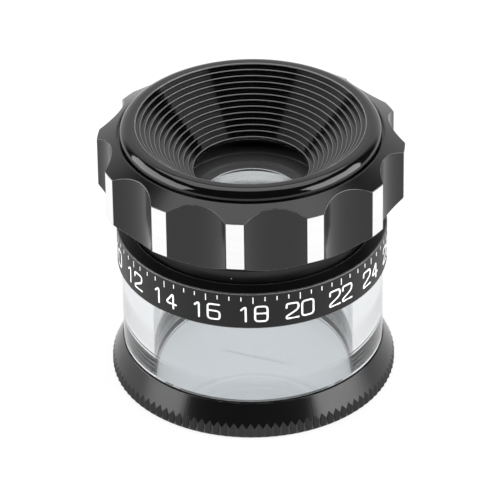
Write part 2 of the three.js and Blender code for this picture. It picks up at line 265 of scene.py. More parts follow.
def grid_faces(rows, columns, closed_rows):
    """Four-cornered faces of a grid whose columns close round, and whose rows may."""
    row = np.arange(rows if closed_rows else rows - 1)[:, None]
    column = np.arange(columns)[None, :]
    beyond_row = (row + 1) % rows
    beyond_column = (column + 1) % columns
    corners_in_order = [
        row * columns + column, row * columns + beyond_column,
        beyond_row * columns + beyond_column, beyond_row * columns + column,
    ]
    return np.stack(corners_in_order, axis=-1).reshape(-1, 4)


def turned_mesh(name, sections, angles, slots=None):
    """A closed surface round Z: at each angle stands a section, rows of (radius, height, wear).

    A point is (radius sin angle, -radius cos angle, height). One section may serve every angle, and the
    angles may differ from row to row. Rows close on themselves, or end in fans of triangles where the
    first and last lie on the axis.
    """
    sections = one_for_each(sections, np.shape(angles)[-1])
    radius, height, wear = np.moveaxis(sections, -1, 0)
    points = np.stack([radius * np.sin(angles), -radius * np.cos(angles), height], axis=-1)
    rows, columns = radius.shape
    if radius[0].max() > SAME_PLACE:
        faces = [grid_faces(rows, columns, True)]
        return mesh_of(name, points.reshape(-1, 3), faces, wear, slots)
    inner = points[1:-1].reshape(-1, 3)
    poles = np.array([points[0, 0], points[-1, 0]])
    column = np.arange(columns)
    beyond = (column + 1) % columns
    last = len(inner) - columns
    foot = np.column_stack([np.full(columns, len(inner)), beyond, column])
    top = np.column_stack([np.full(columns, len(inner) + 1), last + column, last + beyond])
    faces = [grid_faces(rows - 2, columns, False), np.concatenate([foot, top])]
    all_wear = np.concatenate([wear[1:-1].ravel(), [0, 0]])
    return mesh_of(name, np.concatenate([inner, poles]), faces, all_wear, slots)


# Pieces


def add_piece(name, mesh, finishes, body, slot, *replaced, clear_piece=False):
    """A piece of that mesh, which rides on a body and stands for the CAD nodes that it replaces. A clear
    one lets lamps and scattered light through as thin glass does."""
    piece = bpy.data.objects.new(name, mesh)
    bpy.context.scene.collection.objects.link(piece)
    for label in finishes:
        mesh.materials.append(finish(label))
    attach(piece, body)
    if replaced:
        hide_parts(*replaced)
    piece.visible_shadow = not clear_piece
    piece.visible_diffuse = not clear_piece


def add_turned(name, sections, angles, finishes, body, slot, *replaced, slots=None, clear_piece=False):
    """A piece that is turned from its sections."""
    mesh = turned_mesh(name, sections, angles, slots)
    add_piece(name, mesh, finishes, body, slot, *replaced, clear_piece=clear_piece)


def add_ring(name, node, cut, steps, label, body, slot, wider_bore=0.0):
    """A ring of rectangular section as large as the frame's, or with a wider bore."""
    inner, outer = radii(node)
    low, high = heights(node)
    inner += wider_bore
    outline = [(inner, low), (outer, low), (outer, high), (inner, high)]
    add_turned(name, rounded(outline, cut), even_angles(steps), [label], body, slot, node)


# Strokes for figures and ticks

# Single-stroke numerals in a box one wide and one high, as (across, up) corners of their strokes
NUMERAL_SHARES = {
    "0": [[(0, 0), (1, 0), (1, 1), (0, 1)]],
    "1": [[(0.2, 0.76), (0.56, 1), (0.56, 0)]],
    "2": [[(0, 0.74), (0, 1), (1, 1), (1, 0.56), (0, 0.16), (0, 0), (1, 0)]],
    "3": [[(0, 1), (1, 1), (1, 0.53), (0.34, 0.53)], [(1, 0.53), (1, 0), (0, 0)]],
    "4": [[(0.74, 0), (0.74, 1), (0, 0.28), (1, 0.28)]],
    "5": [[(0.94, 1), (0.06, 1), (0.06, 0.56), (1, 0.56), (1, 0), (0, 0)]],
    "6": [[(0.94, 1), (0, 1), (0, 0), (1, 0), (1, 0.56), (0.1, 0.56)]],
    "7": [[(0, 1), (1, 1), (0.4, 0)]],
    "8": [[(0, 0), (1, 0), (1, 1), (0, 1)], [(0.1, 0.53), (0.9, 0.53)]],
    "9": [[(0.9, 0.44), (0, 0.44), (0, 1), (1, 1), (1, 0), (0.06, 0)]],
}
CLOSED_NUMERALS = "08"


def numeral_paths(text, width, height, gap, corner):
    """Paths of a number that is centred across and stands on zero, each with True where it closes."""
    reach = len(text) * width + (len(text) - 1) * gap
    paths = []
    for place, digit in enumerate(text):
        left = place * (width + gap) - reach / 2
        for index, corner_shares in enumerate(NUMERAL_SHARES[digit]):
            closed = digit in CLOSED_NUMERALS and index == 0
            points = np.array(corner_shares) * (width, height) + (left, 0)
            if len(points) > 2:
                points = rounded(points, corner, closed=closed)[:, :2]
            paths.append((points, closed))
    return paths


def shifted(paths, along, up):
    """The paths moved along and up."""
    return [(np.asarray(path) + (along, up), closed) for path, closed in paths]


def stroke(path, closed, width, rise):
    """Points (along, up, out) and faces of one stroke with a domed top and round ends.

    The section is a flat foot and half an ellipse, (w cos t / 2, h sin t), carried along the path square
    to it. At an open end the width shrinks as the cosine of an angle while the section moves on by half
    the width times its sine.
    """
    ahead = np.roll(path, -1, axis=0) - np.roll(path, 1, axis=0)
    if not closed:
        ahead[0] = path[1] - path[0]
        ahead[-1] = path[-1] - path[-2]
    ahead /= np.linalg.norm(ahead, axis=1, keepdims=True)
    widest = width / 2
    half = np.full(len(path), widest)
    if not closed:
        angle = np.radians(STROKE_ENDS)
        before = path[0] - ahead[0] * np.sin(angle)[:, None] * widest
        after = path[-1] + ahead[-1] * np.sin(angle)[::-1, None] * widest
        shrink = widest * np.cos(angle)
        path = np.concatenate([before, path, after])
        ahead = np.pad(ahead, ((len(angle), len(angle)), (0, 0)), mode="edge")
        half = np.concatenate([shrink, half, shrink[::-1]])
    side = np.column_stack([-ahead[:, 1], ahead[:, 0]])
    turn = np.linspace(0, math.pi, STROKE_POINTS)
    flat = path[:, None] + side[:, None] * (half[:, None] * np.cos(turn))[..., None]
    out = rise * np.sin(turn) * (half / widest)[:, None]
    points = np.concatenate([flat, out[..., None]], axis=-1)
    rows, columns = out.shape
    faces = grid_faces(rows, columns, closed)
    caps = np.empty((0, columns), int)
    if not closed:
        first = np.arange(columns)
        caps = np.array([first[::-1], first + (rows - 1) * columns])
    return points.reshape(-1, 3), faces, caps


def add_strokes(name, paths, width, rise, place, label, body, slot):
    """A piece of every stroke. Place turns (along, up, out) into a point of the frame."""
    points, quads, caps, count = [], [], [], 0
    for path, closed in paths:
        stroke_points, stroke_faces, stroke_caps = stroke(np.asarray(path), closed, width, rise)
        points.append(place(*stroke_points.T))
        quads.append(stroke_faces + count)
        caps.append(stroke_caps + count)
        count += len(stroke_points)
    mesh = mesh_of(name, np.concatenate(points), [np.concatenate(quads), np.concatenate(caps)])
    add_piece(name, mesh, [label], body, slot)


def round_wall(radius):
    """Carries (along, up, out) to the angle along / radius at the height up and the radius plus out."""
    return lambda along, up, out: np.column_stack(
        [(radius + out) * np.sin(along / radius), -(radius + out) * np.cos(along / radius), up]
    )


# Shader nodes


def add_node(tree, kind, sockets=(), **settings):
    """A shader node. Sockets maps names or numbers of inputs to values, or to outputs to link."""
    node = tree.nodes.new(kind)
    for name, value in settings.items():
        setattr(node, name, value)
    for name, value in dict(sockets).items():
        if isinstance(value, bpy.types.NodeSocket):
            tree.links.new(value, node.inputs[name])
        else:
            node.inputs[name].default_value = value
    return node


def math_node(tree, operation, first, second=0.0, third=0.0, clamp=False):
    """Output of a Math node."""
    sockets = {0: first, 1: second, 2: third}
    return add_node(tree, "ShaderNodeMath", sockets, operation=operation, use_clamp=clamp).outputs[0]


def ramp(tree, value, low, high, to_low=0.0, to_high=1.0):
    """The value carried smoothly from one range to another."""
    sockets = {"Value": value, "From Min": low, "From Max": high, "To Min": to_low, "To Max": to_high}
    node = add_node(tree, "ShaderNodeMapRange", sockets, interpolation_type="SMOOTHSTEP")
    return node.outputs["Result"]


def blend_colours(tree, share, first, second):
    """Output of a colour Mix node, whose colour sockets are reached by number."""
    sockets = {0: share, 6: first, 7: second}
    return add_node(tree, "ShaderNodeMix", sockets, data_type="RGBA").outputs[2]


def object_place(tree):
    """The shaded point in the object's own coordinates."""
    return add_node(tree, "ShaderNodeTexCoord").outputs["Object"]


def length_across(tree, parts):
    """Length of a vector's X and Y."""
    flat = add_node(tree, "ShaderNodeCombineXYZ", {0: parts["X"], 1: parts["Y"]}).outputs[0]
    return add_node(tree, "ShaderNodeVectorMath", {0: flat}, operation="LENGTH").outputs["Value"]


def noise(tree, place, size, detail):
    """Noise at a place, in cells of that size."""
    scale = math_node(tree, "DIVIDE", 1.0, size)
    sockets = {"Vector": place, "Scale": scale, "Detail": detail}
    return add_node(tree, "ShaderNodeTexNoise", sockets).outputs["Fac"]


def new_group(name, inputs, outputs):
    """An empty node group with number inputs and outputs: (tree, its input sockets, its output node)."""
    tree = bpy.data.node_groups.new(name, "ShaderNodeTree")
    for label, value in inputs:
        socket = tree.interface.new_socket(name=label, in_out="INPUT", socket_type="NodeSocketFloat")
        socket.default_value = value
    for label in outputs:
        tree.interface.new_socket(name=label, in_out="OUTPUT", socket_type="NodeSocketFloat")
    return tree, tree.nodes.new("NodeGroupInput").outputs, tree.nodes.new("NodeGroupOutput").inputs


def turning_group():
    """Fine rings that a lathe tool leaves: noise over the radius and the height, the same all round.
    The tone changes in rings that are about eight times as broad."""
    tree, given, result = new_group("turning_marks", [("Pitch", 0.05 * MM)], ["Height", "Tone"])
    parts = add_node(tree, "ShaderNodeSeparateXYZ", {0: object_place(tree)}).outputs
    radius = length_across(tree, parts)
    rings = add_node(tree, "ShaderNodeCombineXYZ", {0: radius, 2: parts["Z"]}).outputs[0]
    tree.links.new(noise(tree, rings, given["Pitch"], 2.0), result["Height"])
    broad = math_node(tree, "DIVIDE", given["Pitch"], 0.12)
    tree.links.new(noise(tree, rings, broad, 1.0), result["Tone"])
    return tree


def speckle_group():
    """Even grain of a blasted or moulded surface, and soft patches where hands have polished it."""
    inputs = [("Grain", 0.08 * MM), ("Patch", 6 * MM)]
    tree, given, result = new_group("surface_grain", inputs, ["Height", "Patches"])
    place = object_place(tree)
    tree.links.new(noise(tree, place, given["Grain"], 2.0), result["Height"])
    tree.links.new(noise(tree, place, given["Patch"], 3.0), result["Patches"])
    return tree


def wear_group():
    """Mask of rubbed outer edges, and on the band of a painted highlight too: the wear of the mesh times
    0.6 + 0.8 of a noise, over a threshold.
    """
    tree, given, result = new_group("edge_wear_and_highlight", [("Amount", 0.3), ("Break", 0.6 * MM)], ["Mask"])
    wear = add_node(tree, "ShaderNodeAttribute", attribute_name="wear").outputs["Fac"]
    patches = noise(tree, object_place(tree), given["Break"], 3.0)
    level = math_node(tree, "MULTIPLY", wear, math_node(tree, "MULTIPLY_ADD", patches, 0.8, 0.6))
    low = math_node(tree, "SUBTRACT", 1.0, given["Amount"])
    high = math_node(tree, "ADD", low, 0.35)
    tree.links.new(ramp(tree, level, low, high), result["Mask"])
    return tree


def dust_group():
    """Mask of small specks on faces that look up. A cell's random number decides whether it has a speck,
    and its radius, up to 0.07 of a cell."""
    tree, given, result = new_group("dust_specks", [("Amount", 0.2), ("Spacing", 1.2 * MM)], ["Mask"])
    scale = math_node(tree, "DIVIDE", 1.0, given["Spacing"])
    cells = add_node(tree, "ShaderNodeTexVoronoi", {"Vector": object_place(tree), "Scale": scale})
    chance = add_node(tree, "ShaderNodeSeparateColor", {0: cells.outputs["Color"]}).outputs[0]
    size = math_node(tree, "MULTIPLY", chance, 0.07)
    speck = math_node(tree, "LESS_THAN", cells.outputs["Distance"], size)
    normal = add_node(tree, "ShaderNodeNewGeometry").outputs["Normal"]
    upward = ramp(tree, add_node(tree, "ShaderNodeSeparateXYZ", {0: normal}).outputs["Z"], 0.3, 0.9)
    chosen = math_node(tree, "LESS_THAN", chance, given["Amount"])
    mask = math_node(tree, "MULTIPLY", math_node(tree, "MULTIPLY", speck, upward), chosen)
    tree.links.new(mask, result["Mask"])
    return tree


GROUP_MAKERS = {
    "turning_marks": turning_group,
    "surface_grain": speckle_group,
    "edge_wear_and_highlight": wear_group,
    "dust_specks": dust_group,
}


def effect(tree, name, **values):
    """Outputs of a shared effect, placed in a material with its own values."""
    node = tree.nodes.new("ShaderNodeGroup")
    node.node_tree = bpy.data.node_groups.get(name) or GROUP_MAKERS[name]()
    for label, value in values.items():
        node.inputs[label].default_value = value
    return node.outputs


# Materials


def surface(name, **constants):
    """A new material: (material, its node tree, its Principled shader) with constants set on sockets."""
    material = bpy.data.materials.new(name)
    material.use_nodes = True
    tree = material.node_tree
    shader = tree.nodes["Principled BSDF"]
    for label, value in constants.items():
        shader.inputs[label.replace("_", " ")].default_value = value
    return material, tree, shader


def opaque(name, colour, rough, metal=0.0, worn=None, marks=0.05 * MM, grain=0.08 * MM,
           relief=0.0006 * MM, wear=0.25, dust=0.15, **constants):
    """A turned or moulded finish: grain and turning marks in the relief, patches in the roughness,
    a slight change of tone from ring to ring, rubbed edges in a lighter colour, which on the band is also
    a painted highlight, and specks of dust."""
    material, tree, shader = surface(name, Metallic=metal, **constants)
    turning = effect(tree, "turning_marks", Pitch=marks)
    speckle = effect(tree, "surface_grain", Grain=grain)
    lighter = [min(1.0, channel * TONE_FACTOR + TONE_LIFT) for channel in colour]
    tone = math_node(tree, "MULTIPLY", turning["Tone"], speckle["Height"])
    base = blend_colours(tree, tone, (*colour, 1.0), (*lighter, 1.0))
    smoothest, roughest = (rough * share for share in ROUGH_SHARES)
    roughness = ramp(tree, speckle["Patches"], *PATCH_RANGE, smoothest, roughest)
    # Rubbed edges in a lighter colour; on the band this also paints a highlight along its edges
    if worn is not None:
        mask = effect(tree, "edge_wear_and_highlight", Amount=wear)["Mask"]
        base = blend_colours(tree, mask, base, (*worn, 1.0))
    specks = effect(tree, "dust_specks", Amount=dust)["Mask"]
    base = blend_colours(tree, specks, base, DUST_COLOUR)
    roughness = math_node(tree, "MULTIPLY_ADD", specks, DUST_ROUGHNESS, roughness, clamp=True)
    height = math_node(tree, "MULTIPLY", turning["Height"], MARKS_SHARE)
    height = math_node(tree, "MULTIPLY_ADD", speckle["Height"], 1 - MARKS_SHARE, height)
    bump = add_node(tree, "ShaderNodeBump", {"Height": height, "Distance": relief, "Strength": 1.0})
    tree.links.new(base, shader.inputs["Base Color"])
    tree.links.new(roughness, shader.inputs["Roughness"])
    tree.links.new(bump.outputs["Normal"], shader.inputs["Normal"])
    return material


def clear(name, colour, rough, index):
    """Clear glass or plastic with a trace of handling in its roughness."""
    material, tree, shader = surface(
        name, Metallic=0.0, Transmission_Weight=1.0, IOR=index, Base_Color=(*colour, 1.0)
    )
    patches = effect(tree, "surface_grain", Patch=9 * MM)["Patches"]
    tree.links.new(ramp(tree, patches, *HANDLED_RANGE, 0.0, rough), shader.inputs["Roughness"])
    return material


def finish(name):
    """The material of that name, made on its first use from the colours that the user set."""
    found = bpy.data.materials.get(name)
    if found is not None:
        return found
    colours = bpy.context.scene.magnifier_colours
    black = colours.anodised
    clear_finishes = {
        "lens_glass": dict(colour=(1.0, 1.0, 1.0), rough=0.004, index=1.7),
        # The scale glass's grey-blue tint is partly the glass's own and partly painted shade: it darkens the
        # floor seen through it to the grey of the shade under the loupe
        "plate_glass": dict(colour=colours.plate, rough=0.004, index=1.52),
        "skirt_clear": dict(colour=colours.clear, rough=0.012, index=1.49),
    }
    opaque_finishes = {
        "ring_black": dict(colour=black, rough=0.19, worn=RUBBED, wear=0.45, dust=0.1, IOR=1.48),
        # The band's rubbed edges are lighter and wider than on the other blacks: partly real rubbing, partly
        # a painted highlight along its rounded edges, such as its top edge and the mouth
        "band_black": dict(
            colour=black, rough=0.42, worn=(0.2, 0.2, 0.2), wear=0.7, grain=0.11 * MM,
            relief=0.0025 * MM, dust=0.05, IOR=1.38,
        ),
        "base_black": dict(colour=black, rough=0.2, worn=RUBBED, dust=0.1, IOR=1.46),
        "sleeve_black": dict(colour=black, rough=0.28, worn=RUBBED, marks=0.08 * MM, IOR=1.45),
        "inside_black": dict(
            colour=(0.06, 0.06, 0.062), rough=0.42, marks=0.15 * MM, relief=0.001 * MM, dust=0.0
        ),
        "eyecup_black": dict(
            colour=colours.gloss, rough=0.07, worn=RUBBED, relief=0.0001 * MM, wear=0.8, dust=0.08
        ),
        "bare_land": dict(
            colour=colours.bare, rough=0.22, metal=1.0, marks=0.04 * MM, relief=0.0003 * MM, dust=0.0
        ),
        "turned_brass": dict(colour=(0.55, 0.4, 0.17), rough=0.3, metal=1.0, worn=(0.7, 0.55, 0.3)),
        "turned_aluminium": dict(colour=(0.6, 0.61, 0.62), rough=0.32, metal=1.0),
        "bright_bore": dict(colour=(0.9, 0.9, 0.9), rough=0.12, metal=1.0, dust=0.0),
        "cushion_grey": dict(colour=(0.33, 0.35, 0.36), rough=0.8, relief=0.004 * MM, grain=0.05 * MM),
        "figure_white": dict(
            colour=colours.figures, rough=0.5, relief=0.001 * MM, grain=0.05 * MM, dust=0.0
        ),
        "scale_black": dict(colour=(0.01, 0.01, 0.01), rough=0.4, dust=0.0),
    }
    if name in clear_finishes:
        return clear(name, **clear_finishes[name])
    return opaque(name, **opaque_finishes[name])


# Settings that a user would change


def colour_property(name, description, default):
    """A colour of a finish."""
    return FloatVectorProperty(
        name=name, description=description, default=default, min=0.0, max=1.0, size=3, subtype="COLOR"
    )


def length_property(name, description, millimetres):
    """A length, given here in millimetres."""
    return FloatProperty(
        name=name, description=description, default=millimetres * MM, min=0.0,
        precision=5, unit="LENGTH", subtype="DISTANCE",
    )


class MagnifierColours(bpy.types.PropertyGroup):
    """Colours of the finishes."""

    anodised: colour_property("Anodised", "Satin black of the metal rings", (0.0025, 0.0026, 0.0029))
    gloss: colour_property("Eyecup", "Glossy black of the moulded eyecup", (0.001, 0.001, 0.0011))
    bare: colour_property("Bare Metal", "Machined lands of the focus ring", (0.85, 0.85, 0.845))
    figures: colour_property("Figures", "Paint in the engraved figures", (0.93, 0.93, 0.92))
    clear: colour_property("Clear Plastic", "Tint of the skirt", (0.79, 0.81, 0.825))
    # The scale glass's tint is partly its own colour and partly painted shade for the floor seen under the
    # loupe
    plate: colour_property("Scale Glass", "Tint of the scale glass", (0.74, 0.77, 0.785))


class MagnifierSizes(bpy.types.PropertyGroup):
    """Sizes of the surface details. Every other size comes from the frame."""

    round_steps: IntProperty(
        name="Steps Round", description="Faces round a large turned piece", default=288, min=48, max=720
    )
    edge_cut: length_property("Edge Break", "How far the corners of turned pieces are rounded", 0.08)
    land_width: length_property("Land Width", "Bare land between two scallops", 2.75)
    land_cut: length_property("Land Edge", "Rounding between a land and its scallops", 0.13)
    figure_height: length_property("Figure Height", "Height of the figures on the band", 2.45)
    figure_width: length_property("Figure Width", "Width of one figure on the band", 1.75)
    figure_stroke: length_property("Figure Stroke", "Width of an engraved stroke", 0.33)
    division: length_property("Division", "Division of the scale in the base", 0.1)
    scale_length: length_property("Scale Length", "Length of the scale in the base", 10.0)
    scale_stroke: length_property("Scale Stroke", "Width of a line of the scale", 0.012)


class MagnifierStage(bpy.types.PropertyGroup):
    """Floor, lamps and camera."""

    elevation: FloatProperty(
        name="Elevation", description="Height of the camera above the horizon",
        default=math.radians(33.05), subtype="ANGLE",
    )
    roll: FloatProperty(
        name="Roll", description="Turn of the camera about its line of sight",
        default=math.radians(-0.78), subtype="ANGLE",
    )
    distance: length_property("Distance", "From the camera to its target", 664.8)
    target_x: FloatProperty(
        name="Target X", description="Where the camera looks, to the right of the axis",
        default=-0.317 * MM, unit="LENGTH",
    )
    target_z: length_property("Target Height", "Where the camera looks, above the base", 18.80)
    focal_length: FloatProperty(
        name="Focal Length", description="Focal length in millimetres for a 36 mm sensor", default=332.8
    )
    soft_shadow: BoolProperty(
        name="Soft Shadow", description="Lightens the shadow on the floor as seen by the camera", default=True
    )


class PieceMaker:
    """Base of the operators that make pieces, each in a make that takes the user's sizes."""

    def execute(self, context):
        self.make(context.scene.magnifier_sizes)
        return {"FINISHED"}


# Pieces of the base


class MAGNIFIER_OT_base_ring(PieceMaker, bpy.types.Operator):
    """Make the base ring: V-teeth round its foot that run out into a steep cone"""

    bl_idname = "magnifier.base_ring"
    bl_label = "Base Ring"

    teeth = 108
    tooth_depth = 0.32 * MM
    foot_depth = 1.2 * tooth_depth
    cone_drop = 0.2 * MM
    # Places across one tooth from crest to crest, and the height of the V there
    tooth_places = (0.0, 0.05, 0.25, 0.45, 0.5, 0.55, 0.75, 0.95)
    tooth_heights = (1.0, 0.94, 0.5, 0.06, 0.0, 0.06, 0.5, 0.94)

    def make(self, sizes):
        """The outline in plan is a triangle wave of the angle. Above the knurl each section is cut back to
        a cone, so that the grooves run out in points, and below it to a chamfer of 45 degrees."""
        low, high = heights("base_ring")[[0, -1]]
        lip, crest = radii("base_ring", low)[[0, -1]]
        bore, top = radii("base_ring", high)[[0, -1]]
        cone_low = heights("base_ring", crest)[-1] - self.cone_drop
        ledge = heights("base_ring", lip)[-1]
        places = np.arange(self.teeth)[:, None] + np.array(self.tooth_places)
        angles = (places * FULL_TURN / self.teeth).ravel()
        outer = np.tile(crest - self.tooth_depth * (1 - np.array(self.tooth_heights)), self.teeth)
        cone = high - (outer - top) * (high - cone_low) / (crest - top)
        foot = crest - self.foot_depth
        outline = at_angles([
            (lip, low), (foot, low), (outer, low + outer - foot), (outer, cone), (top, high), (bore, high),
            (bore, ledge), (lip, ledge),
        ], len(angles))
        # Rounding of each corner, in edge breaks
        cut = sizes.edge_cut * np.array([1, 0.6, 0.3, 0.8, 1.4, 1.4, 0.5, 0.8])
        rows = rounded(outline, cut, EDGE_STEPS)
        sections = threaded(rows, angles, bore, ledge, high, BASE_THREAD, 1)
        add_turned(
            "base_ring_surface", sections, angles, ["base_black"], "base_ring", "black_anodised", "base_ring"
        )


class MAGNIFIER_OT_scale_glass(PieceMaker, bpy.types.Operator):
    """Make the flanged scale glass with its divided scale, and the cushion that presses it down"""

    bl_idname = "magnifier.scale_glass"
    bl_label = "Scale Glass"

    turn = math.radians(-21.5)
    mark_depth = 0.008 * MM
    # Divisions from one number to the next
    numbered = 50
    figure_size = 0.75 * MM
    figure_lift = 0.4 * figure_size
    # Width of a figure, gap after it and rounding of its corners, as shares of its height
    figure_shares = (0.6, 0.3, 0.2)
    # Lengths of a division's line: every one, every fifth and every tenth
    line_lengths = (0.45 * MM, 0.7 * MM, 1.0 * MM)
    cushion_cut = 0.15 * MM

    def make(self, sizes):
        """The glass is turned from its outline, and the cushion from a rounded rectangle."""
        boss, flange = radii("scale_glass")[-2:]
        foot, step, top = heights("scale_glass")
        outline = [(0, foot), (boss, foot), (boss, step), (flange, step), (flange, top), (0, top)]
        sections = rounded(outline, sizes.edge_cut * WIDE_EDGE, EDGE_STEPS, closed=False)
        add_turned(
            "scale_glass_plate", sections, even_angles(sizes.round_steps), ["plate_glass"], "scale",
            "optical_glass", "scale_glass", clear_piece=True,
        )
        self.add_scale(sizes, foot)
        add_ring(
            "cushion_ring", "scale_cushion", self.cushion_cut, sizes.round_steps, "cushion_grey", "scale",
            "cushion_rubber",
        )

    def add_scale(self, sizes, foot):
        """A row of strokes beneath the glass, each a division further along, with a longer one every five
        and ten, and a number every fifty."""
        count = round(sizes.scale_length / sizes.division)
        start = -sizes.scale_length / 2
        paths = [([(start, 0), (-start, 0)], False)]
        for index in range(count + 1):
            length = self.line_lengths[(index % 5 == 0) + (index % 10 == 0)]
            along = start + index * sizes.division
            paths.append(([(along, 0), (along, length)], False))
        width, gap, corner = (share * self.figure_size for share in self.figure_shares)
        for index in range(0, count + 1, self.numbered):
            number = str(round(index * sizes.division / MM))
            figure = numeral_paths(number, width, self.figure_size, gap, corner)
            along = start + index * sizes.division
            paths += shifted(figure, along, self.line_lengths[-1] + self.figure_lift)
        base = foot - 2 * self.mark_depth
        sine, cosine = math.sin(self.turn), math.cos(self.turn)
        add_strokes(
            "scale_marks", paths, sizes.scale_stroke, self.mark_depth,
            lambda along, up, out: np.column_stack(
                [along * cosine - up * sine, along * sine + up * cosine, base + out]
            ),
            "scale_black", "scale", "optical_glass",
        )


class MAGNIFIER_OT_clear_skirt(PieceMaker, bpy.types.Operator):
    """Make the clear skirt with the thread at its foot"""

    bl_idname = "magnifier.clear_skirt"
    bl_label = "Clear Skirt"

    def make(self, sizes):
        """A turned tube whose foot carries a V-thread, cut inwards from its radius."""
        bore, thread, _, outer = radii("clear_skirt")
        low, shoulder, chamfer, high = heights("clear_skirt")
        outline = [
            (bore, low), (thread, low), (thread, shoulder), (outer - (chamfer - shoulder), shoulder),
            (outer, chamfer), (outer, high), (bore, high),
        ]
        angles = even_angles(sizes.round_steps)
        rows = rounded(outline, sizes.edge_cut, EDGE_STEPS)
        add_turned(
            "clear_skirt_wall", threaded(rows, angles, thread, low, shoulder, BASE_THREAD, -1), angles,
            ["skirt_clear"], "body", "clear_acrylic", "clear_skirt", clear_piece=True,
        )


# Pieces of the body


class MAGNIFIER_OT_body_barrel(PieceMaker, bpy.types.Operator):
    """Make the body barrel with the engraved focusing scale on its band"""

    bl_idname = "magnifier.body_barrel"
    bl_label = "Body Barrel"

    figures = 18
    figure_foot = 1.15 * MM
    figure_gap = 0.55 * MM
    # Rounding of a figure's corners as a share of its width
    figure_corner = 0.3
    ticks = 4
    tick_width = 0.16 * MM
    tick_lengths = (0.55 * MM, 0.95 * MM)
    tick_top_gap = 0.5 * MM
    paint_rise = 0.02 * MM

    def make(self, sizes):
        """Turned from its outline: a spigot, a floor, a band and a chamfered mouth."""
        spigot_bore, spigot, mouth, mouth_edge, band_edge, band = radii("body_barrel")
        foot, skirt_top, band_low, floor, band_high, band_top, mouth_low, top = heights("body_barrel")
        outline = [
            (spigot_bore, foot), (spigot, foot), (spigot, skirt_top), (band_edge, skirt_top),
            (band, band_low), (band, band_high), (band_edge, band_top), (mouth_edge, top),
            (mouth, mouth_low), (mouth, floor), (spigot_bore, floor),
        ]
        # Rounding of each corner, in edge breaks: more at the mouth
        cut = sizes.edge_cut * np.array([1, 1, 1, 1, 1, 1, 1.5, 2.5, 1.5, 1, 1])
        add_turned(
            "body_barrel_shell", rounded(outline, cut), even_angles(sizes.round_steps), ["band_black"],
            "body", "black_anodised", "body_barrel",
        )
        self.add_figures(sizes, band, band_low + self.figure_foot, band_high - self.tick_top_gap)

    def add_figures(self, sizes, band, figure_low, tick_high):
        """Even numbers all round, with a long tick at each and short ones between, as strokes."""
        figures, ticks = [], []
        spacing = FULL_TURN * band / self.figures
        for index in range(self.figures):
            along = (index - self.figures / 2) * spacing
            number = numeral_paths(
                str(index * 2), sizes.figure_width, sizes.figure_height, self.figure_gap,
                sizes.figure_width * self.figure_corner,
            )
            figures += shifted(number, along, figure_low)
            for part in range(self.ticks):
                length = self.tick_lengths[part == 0]
                place = along + part * spacing / self.ticks
                ticks.append(([(place, tick_high - length), (place, tick_high)], False))
        for name, paths, width in (
            ("band_figures", figures, sizes.figure_stroke),
            ("band_ticks", ticks, self.tick_width),
        ):
            add_strokes(
                name, paths, width, self.paint_rise, round_wall(band), "figure_white", "body",
                "engraving_white",
            )


class MAGNIFIER_OT_helicoid_hub(PieceMaker, bpy.types.Operator):
    """Make the brass hub with the inner thread of the focusing helicoid"""

    bl_idname = "magnifier.helicoid_hub"
    bl_label = "Helicoid Hub"

    edge_steps = 2

    def make(self, sizes):
        """A turned, flanged bush. Its bore carries a V-thread of six starts, cut outwards."""
        bore, hub, flange = radii("helicoid_hub")
        low, flange_low, flange_high, high = heights("helicoid_hub")
        outline = [
            (hub, low), (hub, flange_low), (flange, flange_low), (flange, flange_high),
            (hub, flange_high), (hub, high), (bore, high), (bore, low),
        ]
        angles = even_angles(sizes.round_steps)
        rows = rounded(outline, sizes.edge_cut, self.edge_steps)
        add_turned(
            "hub_bush", threaded(rows, angles, bore, low, high, HELICOID_THREAD, 1), angles,
            ["turned_brass"], "body", "bare_brass", "helicoid_hub",
        )


# Pieces that turn with the eyepiece


def ring_rim():
    """Radius and height of the focus ring's rim, and the height of the eyecup's seat inside it.

    The rim lies on the frame's upper cone, a little further out, which leaves room for a groove.
    """
    land, high = radii("focus_ring")[-1], heights("focus_ring")[-1]
    rim = radii("focus_ring", high)[-1]
    slope = (high - heights("focus_ring", land)[-1]) / (land - rim)
    height = high - RIM_SHIFT * slope
    return rim + RIM_SHIFT, height, height - RIM_DEPTH


class MAGNIFIER_OT_lens_barrel(PieceMaker, bpy.types.Operator):
    """Make the lens barrel with the outer thread of the helicoid, and the stop ring on its neck"""

    bl_idname = "magnifier.lens_barrel"
    bl_label = "Lens Barrel"

    def make(self, sizes):
        """A turned tube. Its outer wall carries a V-thread of six starts, cut inwards, below the web."""
        lip, bore, recess, neck, wall, flange = radii("lens_barrel")
        foot, seat, neck_top, lens_top, web, top = heights("lens_barrel")
        outline = [
            (lip, foot), (neck, foot), (neck, neck_top), (wall, neck_top), (wall, web), (flange, web),
            (flange, top), (recess, top), (recess, lens_top), (bore, lens_top), (bore, seat), (lip, seat),
        ]
        angles = even_angles(sizes.round_steps)
        # Rounding of each corner, in edge breaks: a wide chamfer leads into the recess
        cut = sizes.edge_cut * np.array([1, 1, 1, 1, 1, 1, 1, 5, 1, 1, 1, 1])
        rows = rounded(outline, cut, EDGE_STEPS)
        thread_top = heights("inner_sleeve", radii("inner_sleeve")[0])[0]
        add_turned(
            "lens_barrel_tube", threaded(rows, angles, wall, neck_top, thread_top, HELICOID_THREAD, -1),
            angles, ["inside_black"], "eyepiece", "matt_black", "lens_barrel",
        )
        add_ring(
            "stop_ring_surface", "stop_ring", sizes.edge_cut * WIDE_EDGE, sizes.round_steps,
            "turned_aluminium", "eyepiece", "bare_aluminium",
        )


